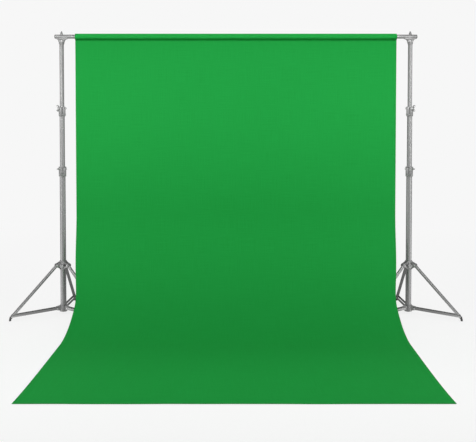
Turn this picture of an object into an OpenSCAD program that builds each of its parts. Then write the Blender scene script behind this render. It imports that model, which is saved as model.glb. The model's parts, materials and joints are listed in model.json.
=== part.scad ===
// Background support system: two folding tripod stands with telescopic masts, a sectional crossbar
// and a backdrop cloth that hangs from the crossbar by a rod pocket and sweeps forward over the floor.
// +X is to the right of someone facing the cloth, +Y is behind it and +Z is up. The origin is on the
// floor, in the middle of the box that holds the whole object. Sizes are in millimetres.

/* [Backdrop cloth] */
// Width of the cloth as cut
cloth_width = 1800; // [1500:10:1840]
// Thickness of the cloth
cloth_thickness = 1; // [0.6:0.1:2]
// How far the cloth runs forward over the floor from the crossbar
cloth_reach = 1300; // [1100:10:1600]
// Radius of the sweep from the drop to the floor
sweep_radius = 580; // [560:5:640]
// How far each side edge draws in along the sweep
neck_in = 41; // [0:1:60]
// How far each side edge is still drawn in at the front edge
front_in = 32; // [0:1:50]
// How far forward of the crossbar the side edges are fully drawn in
neck_run = 250; // [200:10:600]
// How far to the left of the middle the front edge lies
floor_skew = 7; // [0:1:20]
// Crossbar axis to the seam of the rod pocket
pocket_drop = 21; // [18:1:50]
// Room between the yokes and the side edges of a cloth that is gathered to fit between them
gather_gap = 8; // [4:1:20]
// Free edge of the pocket below its seam
hem_tail = 10; // [4:1:20]

/* [Crossbar] */
// Height of the crossbar axis above the floor
bar_height = 1565; // [1500:5:1750]
// Length of the crossbar
bar_length = 2024; // [2000:2:2400]
// Outer diameter of the crossbar
bar_d = 22; // [18:1:26]
// Wall of the crossbar tube
bar_wall = 1.2; // [0.8:0.1:2]
// How many sections the crossbar comes apart into
bar_sections = 4; // [2:1:4]
// How far one crossbar section plugs into the next
bar_plug = 60; // [30:5:100]
// Mast axis to the nearest end of the crossbar
bar_overhang = 35; // [34:1:60]

/* [Masts] */
// Outer diameter of the lower mast tube
lower_d = 32; // [31:0.5:36]
// Outer diameter of the middle mast tube
middle_d = 28; // [27.5:0.5:28.5]
// Outer diameter of the upper mast tube
upper_d = 24; // [22:0.5:24.5]
// Wall of the mast tubes
tube_wall = 1.2; // [0.8:0.1:1.4]
// Top end of the lower tube above the floor
lower_top = 820; // [780:5:860]
// Bottom end of the middle tube above the floor
middle_bottom = 420; // [380:5:480]
// Top end of the middle tube above the floor
middle_top = 1158; // [1120:5:1200]
// Bottom end of the upper tube above the floor
upper_bottom = 800; // [760:5:840]

/* [Mast clamps] */
// Height of a clamp
clamp_h = 54; // [46:1:64]
// Part of a clamp that stands above the tube it sits on
clamp_cap = 15; // [10:1:20]
// Wall of a clamp around its tube
clamp_wall = 4.5; // [3.5:0.5:7]
// Width of the clamp lug along the screw
lug_w = 32; // [24:1:34]
// How far the clamp lug stands out from the ring
lug_depth = 15; // [13:1:20]
// Height of the clamp lug
lug_h = 48; // [40:1:54]
// Top of a clamp down to its screw
screw_drop = 10; // [8:1:20]
// Turn of the clamps about the masts, which faces their knobs a little to the front
clamp_turn = 18; // [0:1:45]
// Width of the split through a clamp
split_w = 2.4; // [1.5:0.1:4]
// Diameter of the clamp screws
screw_d = 6; // [5:0.5:8]
// Width of the clamp nuts across their corners
nut_w = 12; // [11:0.5:14]
// Thickness of the clamp nuts
nut_h = 5; // [4:0.5:8]

/* [Knobs] */
// Span of a wing knob
wing_span = 40; // [30:1:44]
// Thickness of a wing
wing_t = 5; // [3:0.5:8]
// Radius of the rounded end of a wing
wing_lobe = 7; // [5:0.5:9]
// Diameter of the hub of a wing knob
wing_hub_d = 15; // [13:0.5:18]
// Height of the hub of a wing knob
wing_hub_h = 10; // [8:0.5:14]
// Turn of the lower clamps' knobs about their screws
lower_knob_turn = 80; // [-90:5:90]
// Turn of the upper clamps' knobs about their screws
upper_knob_turn = -25; // [-90:5:90]
// Diameter of a collar's dial knob
dial_d = 24; // [20:1:30]
// Height of a collar's dial knob
dial_h = 12; // [9:0.5:16]
// Number of finger flutes round a dial knob
dial_flutes = 8; // [6:1:12]
// Radius of a finger flute
flute_r = 4; // [3:0.5:6]
// Depth of a finger flute
flute_depth = 1.5; // [0.5:0.1:2.5]
// Turn of the wing nuts about their studs
nut_turn = 70; // [0:5:90]

/* [Head] */
// Thickness of the yoke from front to back
yoke_t = 20; // [16:1:26]
// Width of the yoke's flared arms under the crossbar
yoke_w = 66; // [50:1:68]
// Thickness of the yoke's arms at their tips
yoke_lip = 2; // [1:0.5:3]
// Window in the yoke, its height
yoke_window = 12; // [9:1:16]
// Room on each side of the stud's head in the window
window_gap = 2; // [1:0.5:4]
// Solid bridge between the window and the crossbar
yoke_bridge = 7; // [5:0.5:12]
// Solid web between the window and the upper tube's end
yoke_web = 2; // [1.5:0.5:4]
// How far the seat comes up the sides of the crossbar
yoke_wrap = 5; // [2:0.5:8]
// Depth of the socket on the upper tube
socket_h = 10; // [10:1:20]
// Wall of the socket
socket_wall = 3; // [2:0.5:5]
// Diameter of the stud through the crossbar
stud_d = 8; // [6.5:0.5:9]
// Length of the stud that stands out above the wing nut's hub
stud_end = 3; // [1:0.5:8]
// Thickness of the washer under the wing nut
washer_t = 1.6; // [1:0.1:3]
// Diameter of the washer under the wing nut
washer_d = 17; // [14:0.5:20]

/* [Tripod] */
// Height of the leg pivots on the sliding collar
collar_z = 279; // [260:1:300]
// Height of the brace pivots on the base hub
hub_z = 36; // [32:1:44]
// Distance of the collar and hub pivots from the mast axis
pivot_r = 37; // [34:0.5:40]
// Distance of the brace ends from the mast axis
joint_r = 284; // [260:1:300]
// Height of the brace ends above the floor
joint_z = 26; // [24:1:34]
// Outer diameter of a leg tube
leg_d = 17; // [15:1:20]
// Wall of a leg tube
leg_wall = 1.5; // [1:0.1:2.5]
// Length of a leg above its pivot
leg_head = 9; // [7:1:12]
// Length of a leg below the brace
leg_tail = 12; // [9:1:14]
// Width of a brace strap
strap_w = 14; // [10:0.5:16]
// Thickness of a brace strap
strap_t = 2.5; // [1.5:0.1:3.5]
// Diameter of the pivot pins
pin_d = 6; // [5:0.5:8]
// Diameter of the pin and rivet heads
head_d = 11; // [9:0.5:12]
// Height of the pin and rivet heads
head_h = 2; // [1.5:0.1:3]
// Height of the sliding collar
collar_h = 48; // [40:1:56]
// Wall of the collar and of the hub around the mast
hub_wall = 4.5; // [4:0.5:8]
// Thickness of a collar lug
ear_t = 4; // [3:0.5:5]
// Diameter of a collar lug round its pin
collar_ear_d = 20; // [16:1:24]
// Height of a collar lug at the ring
collar_root = 42; // [30:1:46]
// Diameter of a hub lug round its pin
hub_ear_d = 20; // [16:1:24]
// Height of a hub lug at the ring
hub_root = 28; // [20:1:28]
// Height of the base hub
hub_h = 36; // [32:1:40]
// Gap under the base hub
hub_lift = 16; // [8:1:20]
// Floor of the base hub under the mast
hub_floor = 6; // [4:0.5:10]
// Diameter of a foot's floor pad
foot_pad_d = 12; // [10:0.5:15]
// Free length of a foot between the leg tube and its ball
foot_neck = 8; // [5:0.5:9]
// How far a foot plugs into the leg tube
foot_plug = 18; // [10:1:30]

/* [Fits] */
// Radial gap of a turning pin or screw
run_gap = 0.1; // [0.05:0.01:0.1]
// Radial gap of a seated piece
seat_gap = 0.1; // [0.05:0.05:0.3]
// Radial gap of a sliding piece
slide_gap = 0.3; // [0.2:0.05:0.4]
// Gap beside a leg in its lugs and straps
side_gap = 0.5; // [0.3:0.1:0.8]

/* [Hidden] */
$fn = 48;
SIDES = ["left", "right"];
LEGS = ["outer", "back", "inner"];
LEG_AZIMUTHS = [-30, 90, 210];
STAND_PARTS = ["lower_tube", "base_hub", "lower_clamp", "lower_clamp_knob", "middle_tube", "middle_bush",
  "upper_clamp", "upper_clamp_nut", "upper_clamp_knob", "upper_tube", "head_yoke", "wing_nut",
  "leg_collar", "collar_pins", "collar_knob"];
LEG_PARTS = ["leg", "foot", "brace"];
SHARED_PARTS = ["backdrop_cloth", "crossbar_end_caps", "head_studs", "head_washers", "lower_clamp_nuts",
  "upper_bushes", "hub_pins"];

METAL = "#9b9b9b";
CASTING = "#858585";
STEEL = "#b4b4b4";
RUBBER = "#4a4a4a";
CLOTH = "#22a041";

// How far a cutting shape passes the faces that it cuts
cut = 1;
bar_r = bar_d / 2;
mast_x = bar_length / 2 - bar_overhang;
// A cloth that is wider than the room between the yokes is gathered to fit
hung_width = min(cloth_width, 2 * (mast_x - yoke_w / 2 - gather_gap));

// Tripod triangle, in the upright plane of one leg
leg_run = norm([joint_r - pivot_r, collar_z - joint_z]);
leg_angle = atan2(joint_r - pivot_r, collar_z - joint_z);
brace_run = norm([joint_r - pivot_r, joint_z - hub_z]);
brace_angle = atan2(joint_z - hub_z, joint_r - pivot_r);
foot_ball_r = leg_d / 2;
foot_at = leg_run + leg_tail + foot_neck;
foot_r = pivot_r + foot_at * sin(leg_angle);
foot_z = collar_z - foot_at * cos(leg_angle);
back_reach = foot_r + foot_ball_r;
mast_y = (cloth_reach - back_reach) / 2;

// Places across a leg, measured from its middle plane, and the circle that the leg's head swings in
ear_in = leg_d / 2 + side_gap;
strap_out = ear_in + strap_t;
swing_r = norm([leg_head, leg_d / 2]) + side_gap;

// Heights up the mast
tube_bottom = hub_lift + hub_floor;
yoke_top = bar_height - bar_r + yoke_wrap;
window_top = bar_height - bar_r - yoke_bridge;
window_bottom = window_top - yoke_window;
upper_top = window_bottom - yoke_web;
socket_bottom = upper_top - socket_h;
nut_bottom = bar_height + bar_r + washer_t;

// Small sizes of the fittings
bush_flange = 6;
bush_plug = 22;
head_gap = 0.2;
screw_out = lug_depth - screw_d;
screw_end = 1;
lug_z = clamp_cap - clamp_h / 2;
screw_z = clamp_cap - screw_drop;
boss_r = 9;
boss_out = 7;
wing_foot = 1;
dial_foot = 3;
window_foot = 1;
cap_t = 3;
cap_plug = 14;
layer_gap = 0.3;

// The cloth's middle line in its upright plane: [forward of the crossbar axis, height]
loop_r = bar_r + layer_gap + cloth_thickness / 2;
fold_y = cloth_thickness / 2 + layer_gap / 2;
seam_z = bar_height - pocket_drop;
loop_tangent = acos(loop_r / pocket_drop);
LOOP_STEPS = 28;
SWEEP_STEPS = 24;
EDGE_STEPS = 32;
FLARE_STEPS = 8;
loop_line = [for (i = [0:LOOP_STEPS])
  let (a = -90 + loop_tangent + i / LOOP_STEPS * (360 - 2 * loop_tangent))
  [-loop_r * cos(a), bar_height + loop_r * sin(a)]];
sweep_line = [for (i = [0:SWEEP_STEPS])
  let (a = i / SWEEP_STEPS * 90)
  [fold_y + (sweep_radius - cloth_thickness / 2) * (1 - cos(a)),
   sweep_radius - (sweep_radius - cloth_thickness / 2) * sin(a)]];
cloth_line = concat(
  [[-fold_y, seam_z - hem_tail], [-fold_y, seam_z]],
  loop_line,
  [[fold_y, seam_z]],
  sweep_line,
  [[cloth_reach, cloth_thickness / 2]]);

// The direction of a line at one of its points, and the point moved sideways from it
function along(line, i) = let (d = line[min(i + 1, len(line) - 1)] - line[max(i - 1, 0)]) d / norm(d);
function beside(line, i, off) = line[i] + off * [along(line, i).y, -along(line, i).x];
function band(line, t) = concat(
  [for (i = [0:len(line) - 1]) beside(line, i, t / 2)],
  [for (i = [len(line) - 1:-1:0]) beside(line, i, -t / 2)]);
// Half the cloth's width at a share of its reach: it eases in along the sweep, then flares a little
function ease(t) = let (c = min(max(t, 0), 1)) c * c * (3 - 2 * c);
function half_width(share) = hung_width / 2 - neck_in * ease(share * cloth_reach / neck_run)
  + (neck_in - front_in) * pow(max(2 * share - 1, 0), 4);
function middle_line(share) = -floor_skew * ease(share);

// Shapes that repeat
module on_stand(side) {
  translate([side == "left" ? -mast_x : mast_x, mast_y, 0])
    mirror([side == "left" ? 1 : 0, 0, 0])
      children();
}

module on_leg(leg) {
  rotate([0, 0, LEG_AZIMUTHS[search([leg], LEGS)[0]]])
    children();
}

module tube(d, wall, bottom, top) {
  translate([0, 0, bottom])
    difference() {
      cylinder(d = d, h = top - bottom);
      translate([0, 0, -cut])
        cylinder(d = d - 2 * wall, h = top - bottom + 2 * cut);
    }
}

// A cylinder across a leg, centred on the leg's middle plane
module across(r, z, d, length) {
  translate([r, 0, z])
    rotate([90, 0, 0])
      cylinder(d = d, h = length, center = true);
}

// A pivot pin with a head at each end, outside the pieces that it joins
module pivot_pin(r, z, grip) {
  across(r, z, pin_d, grip + 2 * head_gap + 2 * head_h);
  for (s = [-1, 1])
    translate([0, s * (grip / 2 + head_gap + head_h / 2), 0])
      across(r, z, head_d, head_h);
}

// A lug in a leg's upright plane, which narrows from the ring to a round end about its pin
module lug_plate(z, end_d, root, thickness) {
  translate([0, 0, z])
    rotate([90, 0, 0])
      linear_extrude(thickness, center = true) {
        translate([pivot_r, 0]) circle(d = end_d);
        polygon([[lower_d / 2, -root / 2], [pivot_r, -end_d / 2],
          [pivot_r, end_d / 2], [lower_d / 2, root / 2]]);
      }
}

module wing_outline() {
  for (s = [-1, 1])
    translate([s * (wing_span / 2 - wing_lobe), wing_hub_h])
      circle(r = wing_lobe);
  translate([wing_lobe - wing_span / 2, wing_foot])
    square([wing_span - 2 * wing_lobe, wing_hub_h - wing_foot]);
}

// The head of a wing knob or wing nut, standing on z = 0 about the Z axis
module wing_head() {
  cylinder(d = wing_hub_d, h = wing_hub_h);
  rotate([90, 0, 0])
    linear_extrude(wing_t, center = true)
      wing_outline();
}

// A wing knob with its screw, whose length below the head is given
module wing_screw(length) {
  wing_head();
  translate([0, 0, -length])
    cylinder(d = screw_d, h = length + wing_foot);
}

// A fluted dial knob with its screw, whose length below the head is given
module dial_screw(length) {
  difference() {
    cylinder(d = dial_d, h = dial_h);
    for (i = [1:dial_flutes])
      rotate([0, 0, i * 360 / dial_flutes])
        translate([dial_d / 2 + flute_r - flute_depth, 0, dial_foot])
          cylinder(r = flute_r, h = dial_h);
  }
  translate([0, 0, -length])
    cylinder(d = screw_d, h = length + wing_foot);
}

// Everything on a clamp is drawn with its lug to the front and then turned about the mast
module on_clamp(tube_top) {
  translate([0, 0, tube_top])
    rotate([0, 0, -clamp_turn])
      children();
}

// A split clamp that sits on the end of one tube and grips the next. z = 0 is the tube's end.
module split_clamp(own_d, sliding_d) {
  ring_r = own_d / 2 + clamp_wall;
  difference() {
    union() {
      translate([0, 0, clamp_cap - clamp_h])
        cylinder(r = ring_r, h = clamp_h);
      translate([-lug_w / 2, -ring_r - lug_depth, lug_z - lug_h / 2])
        cube([lug_w, lug_depth + clamp_wall, lug_h]);
    }
    translate([0, 0, clamp_cap - clamp_h - cut])
      cylinder(r = own_d / 2 + seat_gap, h = clamp_h - clamp_cap + cut);
    translate([0, 0, -cut])
      cylinder(r = sliding_d / 2 + slide_gap, h = clamp_cap + 2 * cut);
    translate([-split_w / 2, -ring_r - lug_depth - cut, clamp_cap - clamp_h - cut])
      cube([split_w, ring_r + lug_depth + cut, clamp_h + 2 * cut]);
    translate([0, -ring_r - screw_out, screw_z])
      rotate([0, 90, 0])
        cylinder(d = screw_d + 2 * run_gap, h = lug_w + 2 * cut, center = true);
  }
}

// The nut on the mast's inner side of a clamp
module clamp_nut(own_d) {
  translate([-lug_w / 2 - nut_h, -own_d / 2 - clamp_wall - screw_out, screw_z])
    rotate([0, 90, 0])
      difference() {
        cylinder(d = nut_w, h = nut_h, $fn = 6);
        translate([0, 0, -cut])
          cylinder(d = screw_d + 2 * run_gap, h = nut_h + 2 * cut);
      }
}

// The knob on the mast's outer side of a clamp
module clamp_knob(own_d, turn) {
  translate([lug_w / 2 + slide_gap, -own_d / 2 - clamp_wall - screw_out, screw_z])
    rotate([0, 90, 0])
      rotate([0, 0, turn])
        wing_screw(lug_w + slide_gap + nut_h + screw_end);
}

// A glide plugged into the bottom end of a sliding tube. z = 0 is the tube's end.
module glide_bush(tube_d, outer_tube_d) {
  translate([0, 0, -bush_flange])
    cylinder(d = outer_tube_d - 2 * tube_wall - 2 * slide_gap, h = bush_flange);
  cylinder(d = tube_d - 2 * tube_wall - 2 * seat_gap, h = bush_plug);
}

// Mast pieces, on a mast axis that stands on the floor
module lower_tube() {
  color(METAL) tube(lower_d, tube_wall, tube_bottom, lower_top);
}

module middle_tube() {
  color(METAL) tube(middle_d, tube_wall, middle_bottom, middle_top);
}

module upper_tube() {
  color(METAL) tube(upper_d, tube_wall, upper_bottom, upper_top);
}

module middle_bush() {
  color(RUBBER) translate([0, 0, middle_bottom]) glide_bush(middle_d, lower_d);
}

module upper_bush() {
  color(RUBBER) translate([0, 0, upper_bottom]) glide_bush(upper_d, middle_d);
}

module lower_clamp() {
  color(CASTING) on_clamp(lower_top) split_clamp(lower_d, middle_d);
}

module lower_clamp_nut() {
  color(STEEL) on_clamp(lower_top) clamp_nut(lower_d);
}

module lower_clamp_knob() {
  color(CASTING) on_clamp(lower_top) clamp_knob(lower_d, lower_knob_turn);
}

module upper_clamp() {
  color(CASTING) on_clamp(middle_top) split_clamp(middle_d, upper_d);
}

module upper_clamp_nut() {
  color(STEEL) on_clamp(middle_top) clamp_nut(middle_d);
}

module upper_clamp_knob() {
  color(CASTING) on_clamp(middle_top) clamp_knob(middle_d, upper_knob_turn);
}

// A forked head: a socket on the upper tube and two arms that flare out round a window to a seat
// under the crossbar
module head_yoke() {
  socket_r = upper_d / 2 + socket_wall;
  flare_r = yoke_w / 2 - socket_r;
  lip_z = bar_height - bar_r - yoke_lip;
  flare = [for (i = [0:FLARE_STEPS - 1])
    let (a = 90 + i / FLARE_STEPS * 90)
    [yoke_w / 2 + flare_r * cos(a), lip_z - flare_r + flare_r * sin(a)]];
  arm = concat([[yoke_w / 2, yoke_top]], flare, [[socket_r, min(upper_top, lip_z - flare_r)]]);
  half_window = head_d / 2 + window_gap;
  color(CASTING)
    difference() {
      union() {
        translate([0, 0, socket_bottom])
          cylinder(r = socket_r, h = socket_h + yoke_web);
        rotate([90, 0, 0])
          linear_extrude(yoke_t, center = true)
            difference() {
              polygon(concat(arm, [for (i = [len(arm) - 1:-1:0]) [-arm[i].x, arm[i].y]]));
              polygon([[-window_foot, window_bottom], [window_foot, window_bottom],
                [half_window, window_top - 2 * head_h], [half_window, window_top],
                [-half_window, window_top], [-half_window, window_top - 2 * head_h]]);
            }
      }
      translate([0, 0, socket_bottom - cut])
        cylinder(r = upper_d / 2 + seat_gap, h = socket_h + cut);
      translate([0, 0, bar_height])
        rotate([0, 90, 0])
          cylinder(r = bar_r + seat_gap, h = yoke_w + 2 * cut, center = true);
      translate([0, 0, window_top - cut])
        cylinder(r = stud_d / 2 + seat_gap, h = bar_r + yoke_bridge);
    }
}

// A stud that stands up through the crossbar, with its head under the yoke's bridge
module head_stud() {
  stud_top = nut_bottom + wing_hub_h + stud_end;
  color(STEEL)
    translate([0, 0, window_top - head_h]) {
      cylinder(d = head_d, h = head_h);
      cylinder(d = stud_d, h = stud_top - window_top + head_h);
    }
}

module head_washer() {
  color(STEEL)
    translate([0, 0, bar_height + bar_r])
      difference() {
        cylinder(d = washer_d, h = washer_t);
        translate([0, 0, -cut])
          cylinder(d = stud_d + 2 * seat_gap, h = washer_t + 2 * cut);
      }
}

module wing_nut() {
  color(CASTING)
    translate([0, 0, nut_bottom])
      rotate([0, 0, nut_turn])
        difference() {
          wing_head();
          translate([0, 0, -cut])
            cylinder(d = stud_d + 2 * run_gap, h = wing_hub_h + 2 * wing_lobe);
        }
}

// Tripod pieces, about a mast axis that stands on the floor
module base_hub() {
  ring_r = lower_d / 2 + hub_wall;
  color(CASTING)
    difference() {
      union() {
        translate([0, 0, hub_lift])
          cylinder(r = ring_r, h = hub_h);
        for (l = LEGS)
          on_leg(l)
            lug_plate(hub_z, hub_ear_d, hub_root, 2 * ear_in - 2 * side_gap);
      }
      translate([0, 0, tube_bottom])
        cylinder(r = lower_d / 2 + seat_gap, h = hub_h);
      for (l = LEGS)
        on_leg(l)
          across(pivot_r, hub_z, pin_d + 2 * seat_gap, 2 * ear_in);
    }
}

module hub_pin_set() {
  color(STEEL)
    for (l = LEGS)
      on_leg(l)
        pivot_pin(pivot_r, hub_z, 2 * strap_out);
}

module leg_collar() {
  ring_r = lower_d / 2 + hub_wall;
  color(CASTING)
    difference() {
      union() {
        translate([0, 0, collar_z - collar_h / 2])
          cylinder(r = ring_r, h = collar_h);
        for (l = LEGS)
          for (s = [-1, 1])
            on_leg(l)
              translate([0, s * (ear_in + ear_t / 2), 0])
                lug_plate(collar_z, collar_ear_d, collar_root, ear_t);
        translate([0, 0, collar_z])
          rotate([90, 0, 0])
            cylinder(r = boss_r, h = ring_r + boss_out);
      }
      translate([0, 0, collar_z - collar_h / 2 - cut])
        cylinder(r = lower_d / 2 + slide_gap, h = collar_h + 2 * cut);
      for (l = LEGS)
        on_leg(l) {
          across(pivot_r, collar_z, pin_d + 2 * seat_gap, 2 * ear_in + 2 * ear_t + 2 * cut);
          across(pivot_r, collar_z, 2 * swing_r, 2 * ear_in);
          translate([pivot_r - ear_in, -ear_in, collar_z - collar_h])
            cube([2 * ear_in, 2 * ear_in, 2 * collar_h]);
        }
      translate([0, 0, collar_z])
        rotate([90, 0, 0])
          cylinder(d = screw_d + 2 * run_gap, h = ring_r + boss_out + cut);
    }
}

module collar_pin_set() {
  color(STEEL)
    for (l = LEGS)
      on_leg(l)
        pivot_pin(pivot_r, collar_z, 2 * (ear_in + ear_t));
}

module collar_knob() {
  reach = lower_d / 2 + hub_wall + boss_out + slide_gap;
  color(CASTING)
    translate([0, -reach, collar_z])
      rotate([90, 0, 0])
        dial_screw(reach - lower_d / 2 - slide_gap);
}

// Everything on a leg is drawn hanging from its pivot and then swung out
module swung_leg() {
  translate([pivot_r, 0, collar_z])
    rotate([0, -leg_angle, 0])
      children();
}

module leg_tube() {
  color(METAL)
    swung_leg()
      difference() {
        tube(leg_d, leg_wall, -leg_run - leg_tail, leg_head);
        across(0, 0, pin_d + 2 * run_gap, leg_d + 2 * cut);
      }
}

module leg_foot() {
  color(RUBBER) {
    swung_leg()
      translate([0, 0, -foot_at]) {
        cylinder(d = leg_d - 2 * leg_wall - 2 * seat_gap, h = foot_neck + foot_plug);
        sphere(r = foot_ball_r);
      }
    translate([foot_r, 0, 0])
      cylinder(d = foot_pad_d, h = foot_z);
  }
}

// A pair of straps, one on each side of the hub lug and of the leg, with a rivet in each outer end
module leg_brace() {
  color(METAL)
    translate([pivot_r, 0, hub_z])
      rotate([0, -brace_angle, 0])
        for (s = [-1, 1]) {
          translate([0, s * (ear_in + strap_t / 2), 0])
            rotate([90, 0, 0])
              linear_extrude(strap_t, center = true)
                difference() {
                  union() {
                    circle(d = strap_w);
                    translate([brace_run, 0]) circle(d = strap_w);
                    translate([0, -strap_w / 2]) square([brace_run, strap_w]);
                  }
                  circle(d = pin_d + 2 * run_gap);
                }
          translate([0, s * (strap_out + head_h / 2), 0])
            across(brace_run, 0, head_d, head_h);
        }
}

// Crossbar pieces, about the crossbar's axis laid along X
module along_bar(x) {
  translate([x, mast_y, bar_height])
    rotate([0, 90, 0])
      children();
}

module crossbar_section(i) {
  section = bar_length / bar_sections;
  start = (i - 1) * section - bar_length / 2;
  last = i == bar_sections;
  inner_d = bar_d - 2 * bar_wall;
  plug_d = inner_d - 2 * seat_gap;
  color(METAL)
    difference() {
      along_bar(start)
        difference() {
          union() {
            cylinder(d = bar_d, h = section);
            if (!last) cylinder(d = plug_d, h = section + bar_plug);
          }
          translate([0, 0, -cut])
            cylinder(d = inner_d, h = last ? section + 2 * cut : section - bar_plug + cut);
          translate([0, 0, -cut])
            cylinder(d = plug_d - 2 * bar_wall, h = section + bar_plug + 2 * cut);
        }
      for (s = [-1, 1])
        translate([s * mast_x, mast_y, bar_height - bar_d])
          cylinder(r = stud_d / 2 + seat_gap, h = 2 * bar_d);
    }
}

module crossbar_end_caps() {
  color(RUBBER)
    for (s = [-1, 1])
      translate([0, mast_y, bar_height])
        rotate([0, s * 90, 0])
          translate([0, 0, bar_length / 2]) {
            cylinder(d = bar_d, h = cap_t);
            translate([0, 0, -cap_plug])
              cylinder(d = bar_d - 2 * bar_wall - 2 * seat_gap, h = cap_plug);
          }
}

// The cloth: one band from the pocket's hem round the crossbar, down, and out over the floor
module backdrop_cloth() {
  shares = [for (i = [0:EDGE_STEPS]) i / EDGE_STEPS];
  behind = 2 * loop_r;
  color(CLOTH)
    translate([0, mast_y, 0])
      intersection() {
        rotate([90, 0, -90])
          linear_extrude(hung_width + 2 * floor_skew, center = true)
            polygon(band(cloth_line, cloth_thickness));
        translate([0, 0, -cut])
          linear_extrude(bar_height + 2 * bar_d)
            polygon(concat(
              [[-hung_width / 2, behind], [hung_width / 2, behind]],
              [for (u = shares) [middle_line(u) + half_width(u), -u * cloth_reach]],
              [for (i = [EDGE_STEPS:-1:0]) let (u = shares[i])
                [middle_line(u) - half_width(u), -u * cloth_reach]]));
      }
}

for (s = SIDES) {
  on_stand(s) lower_tube();
  on_stand(s) base_hub();
  on_stand(s) lower_clamp();
  on_stand(s) lower_clamp_knob();
  on_stand(s) middle_tube();
  on_stand(s) middle_bush();
  on_stand(s) upper_clamp();
  on_stand(s) upper_clamp_nut();
  on_stand(s) upper_clamp_knob();
  on_stand(s) upper_tube();
  on_stand(s) head_yoke();
  on_stand(s) wing_nut();
  on_stand(s) leg_collar();
  on_stand(s) collar_pin_set();
  on_stand(s) collar_knob();
  for (l = LEGS) {
    on_stand(s) on_leg(l) leg_tube();
    on_stand(s) on_leg(l) leg_foot();
    on_stand(s) on_leg(l) leg_brace();
  }
}
for (i = [1:bar_sections])
  crossbar_section(i);
crossbar_end_caps();
for (s = SIDES) on_stand(s) head_stud();  // head_studs
for (s = SIDES) on_stand(s) head_washer();  // head_washers
for (s = SIDES) on_stand(s) lower_clamp_nut();  // lower_clamp_nuts
for (s = SIDES) on_stand(s) upper_bush();  // upper_bushes
for (s = SIDES) on_stand(s) hub_pin_set();  // hub_pins
backdrop_cloth();
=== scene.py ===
import json
import math

import bmesh
import bpy
import numpy as np
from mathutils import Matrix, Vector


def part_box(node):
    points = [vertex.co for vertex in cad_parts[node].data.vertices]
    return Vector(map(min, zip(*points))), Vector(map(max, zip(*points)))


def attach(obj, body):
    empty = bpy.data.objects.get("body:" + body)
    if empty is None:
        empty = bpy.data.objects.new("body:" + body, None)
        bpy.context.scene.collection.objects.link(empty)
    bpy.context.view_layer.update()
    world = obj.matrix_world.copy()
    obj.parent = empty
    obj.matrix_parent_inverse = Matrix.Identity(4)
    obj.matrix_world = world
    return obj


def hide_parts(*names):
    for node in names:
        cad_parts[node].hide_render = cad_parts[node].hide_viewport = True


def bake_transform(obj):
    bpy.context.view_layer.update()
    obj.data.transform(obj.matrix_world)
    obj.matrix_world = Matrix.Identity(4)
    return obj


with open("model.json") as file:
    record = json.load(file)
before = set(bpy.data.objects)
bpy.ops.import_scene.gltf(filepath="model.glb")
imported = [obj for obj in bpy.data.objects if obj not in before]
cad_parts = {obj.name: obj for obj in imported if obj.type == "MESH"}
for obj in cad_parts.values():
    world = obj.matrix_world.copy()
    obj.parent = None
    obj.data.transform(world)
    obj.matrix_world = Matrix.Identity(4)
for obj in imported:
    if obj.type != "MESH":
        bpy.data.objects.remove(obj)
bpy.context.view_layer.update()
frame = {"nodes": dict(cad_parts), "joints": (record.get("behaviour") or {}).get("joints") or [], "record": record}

nodes = frame["nodes"]
joints = {joint["name"]: joint for joint in frame["joints"]}
mounts = {mount["name"]: mount for mount in frame["record"]["mounts"]}
sides = ("left", "right")
legNames = ("outer", "back", "inner")
mm = 0.001
up = np.array((0.0, 0.0, 1.0))
creaseAngle = 40  # degrees from which an edge is shaded as a crease
weldDistance, sliverLength = 1e-6, 1e-7
noiseSpread = (0.3, 0.7)  # the middle of what a noise node gives
screwPitch = 1.5
threadForm = dict(steps=6, depth=0.55, runOut=0.4)  # rings a pitch, depth as a share of it, fade at the end
domeForm = dict(rings=7, rim=0.25, segments=24)  # a dome stands on a rim of this share of its height
nearUpright = 0.9  # an axis whose Z part is larger takes its sides from X instead of Z


# sRGB hex to linear: each channel goes through the inverse of the sRGB curve
def linear(hexColour):
    code = np.array([int(hexColour[i:i + 2], 16) for i in (1, 3, 5)]) / 255
    light = np.where(code <= 0.04045, code / 12.92, ((code + 0.055) / 1.055) ** 2.4)
    return (*(float(part) for part in light), 1.0)


# adds one node: settings are its properties or its sockets' values, links are its sockets' sources
def addNode(tree, kind, settings=None, links=None):
    node = tree.nodes.new(kind)
    for key, value in (settings or {}).items():
        if isinstance(key, int) or key in node.inputs:
            node.inputs[key].default_value = value
        else:
            setattr(node, key, value)
    for key, source in (links or {}).items():
        tree.links.new(source, node.inputs[key])
    return node


# a material with its node tree and its main shader
def newMaterial(name):
    material = bpy.data.materials.new(name)
    material.use_nodes = True
    tree = material.node_tree
    return material, tree, tree.nodes["Principled BSDF"]


# faces of a grid of rows by columns, as quads; a closed direction joins its last line to its first
def gridFaces(rows, columns, closeRows=False, closeColumns=False):
    row = np.arange(rows if closeRows else rows - 1)[:, None]
    column = np.arange(columns if closeColumns else columns - 1)[None, :]
    nextRow, nextColumn = (row + 1) % rows, (column + 1) % columns
    corners = (row * columns + column, row * columns + nextColumn,
               nextRow * columns + nextColumn, nextRow * columns + column)
    return np.stack([np.broadcast_to(c, (row.size, column.size)) for c in corners], -1).reshape(-1, 4)


# several (points, faces) shapes as one, each one's faces counted on from the last one's points
def joined(shapes):
    counts = np.cumsum([0] + [len(points) for points, faces in shapes[:-1]])
    return (np.concatenate([points for points, faces in shapes]),
            np.concatenate([faces + start for (points, faces), start in zip(shapes, counts)]))


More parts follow.
